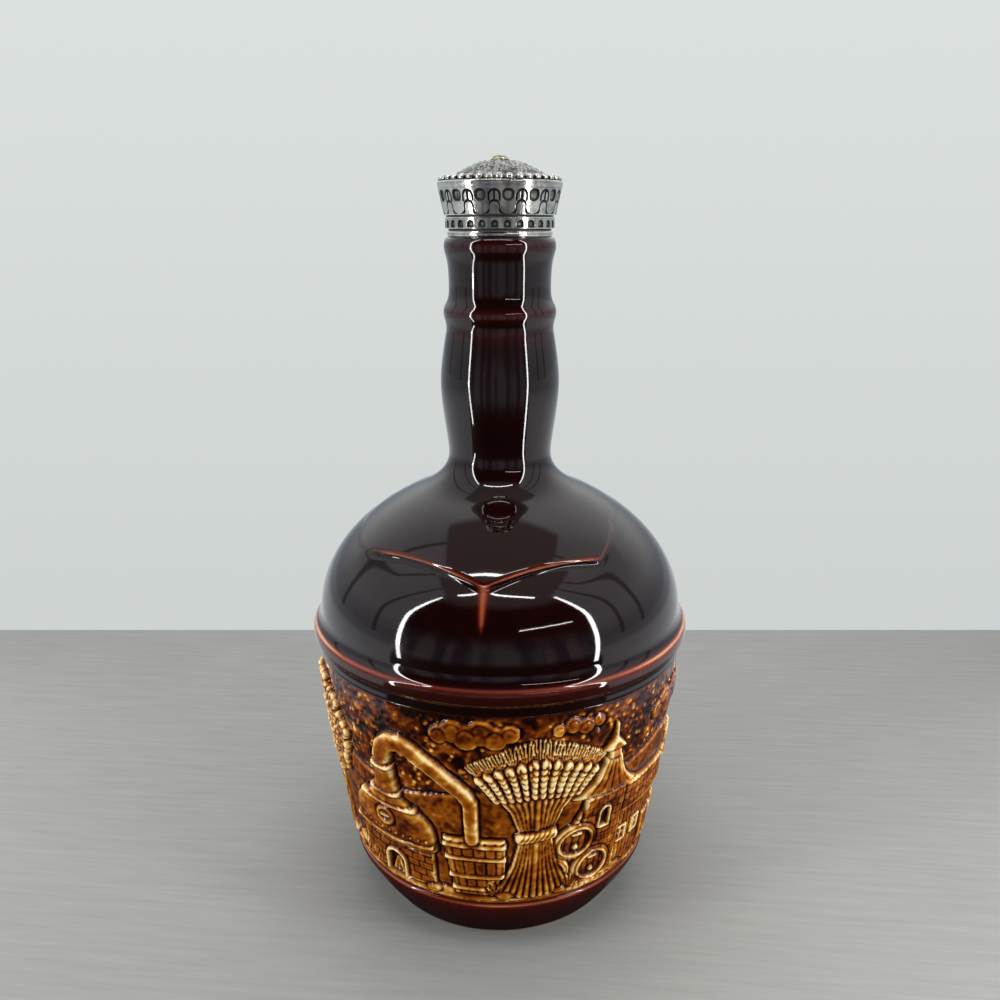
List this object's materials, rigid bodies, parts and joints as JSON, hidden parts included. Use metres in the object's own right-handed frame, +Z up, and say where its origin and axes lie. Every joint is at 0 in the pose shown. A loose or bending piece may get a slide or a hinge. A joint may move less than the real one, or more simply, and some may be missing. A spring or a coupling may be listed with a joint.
{
  "type": "whisky bottle",
  "caption": "Glazed ceramic whisky bottle with a hooded shoulder, a ridge and a wide relief band, closed by a lift-out cork stopper under a cast metal crown.",
  "frame": {"origin": "centre of the foot ring, on the plane that the bottle stands on", "axes": "+Z up along the bottle's axis towards the crown; -Y is the front, where the point of the shoulder's hood is; +X is to the right of someone facing the front"},
  "size_m": [0.1166, 0.1166, 0.2264],
  "materials": {
    "treacle_glaze": "deep treacle-brown gloss glaze, amber and golden over the relief band",
    "plated_metal": "polished silver plate, blackened in its cut lines",
    "stippled_metal": "antiqued silver, finely pebbled",
    "worn_brass": "worn plate over yellow metal",
    "black_plastic": "moulded, satin",
    "cork": "natural cork with lenticels"
  },
  "bodies": {
    "bottle": {"bottle_body": "treacle_glaze"},
    "stopper": {"crown_shell": "plated_metal", "crown_pad": "stippled_metal", "crown_boss": "worn_brass", "crown_insert": "black_plastic", "cork": "cork"}
  },
  "joints": [
    {"name": "stopper_lift", "type": "slide", "parent": "bottle", "child": "stopper", "axis": [0, 0, 1], "range_m": [0, 0.04]}
  ]
}
